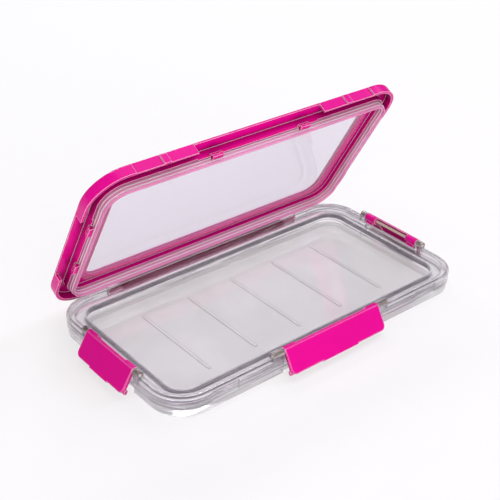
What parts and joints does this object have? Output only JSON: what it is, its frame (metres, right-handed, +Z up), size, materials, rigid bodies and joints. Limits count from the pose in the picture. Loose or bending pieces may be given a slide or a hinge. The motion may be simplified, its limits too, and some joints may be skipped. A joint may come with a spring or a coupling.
{
  "type": "waterproof phone case",
  "caption": "Hinged waterproof phone case standing open, with a clear tray, a windowed lid frame holding a seal ring, and cam latches on its free sides.",
  "frame": {"origin": "middle of the tray's flat underside, on the surface it lies on", "axes": "+X along the case, +Y towards the lid's hinge, +Z up out of the tray"},
  "size_m": [0.1942, 0.1106, 0.096],
  "materials": {
    "clear_plastic": "clear polished polycarbonate",
    "pink_plastic": "gloss hot pink",
    "window_film": "thin clear film, slightly milky",
    "window_bond": "clear adhesive bead",
    "silicone_seal": "translucent silicone, satin",
    "steel_pin": "drawn stainless steel"
  },
  "bodies": {
    "tray": {"base_shell": "clear_plastic", "hinge_pin": "steel_pin", "latch_pin_front": "steel_pin", "latch_pin_left": "steel_pin", "latch_pin_right": "steel_pin"},
    "lid": {"lid_frame": "pink_plastic", "lid_window": "window_film", "window_bond": "window_bond", "seal_ring": "silicone_seal"},
    "front_latch": {"latch_front": "pink_plastic"},
    "left_latch": {"latch_left": "pink_plastic"},
    "right_latch": {"latch_right": "pink_plastic"}
  },
  "joints": [
    {"name": "lid_hinge", "type": "hinge", "parent": "tray", "child": "lid", "pos_m": [0, 0.0482, 0.0076], "axis": [-1, 0, 0], "range_deg": [-60.5, 89.5]},
    {"name": "front_latch_hinge", "type": "hinge", "parent": "tray", "child": "front_latch", "pos_m": [0, -0.047, 0.0124], "axis": [-1, 0, 0], "range_deg": [-31.5, 55]},
    {"name": "left_latch_hinge", "type": "hinge", "parent": "tray", "child": "left_latch", "pos_m": [-0.0891, 0, 0.0124], "axis": [0, 1, 0], "range_deg": [-31.5, 55]},
    {"name": "right_latch_hinge", "type": "hinge", "parent": "tray", "child": "right_latch", "pos_m": [0.0891, 0, 0.0124], "axis": [0, -1, 0], "range_deg": [-31.5, 55]}
  ]
}
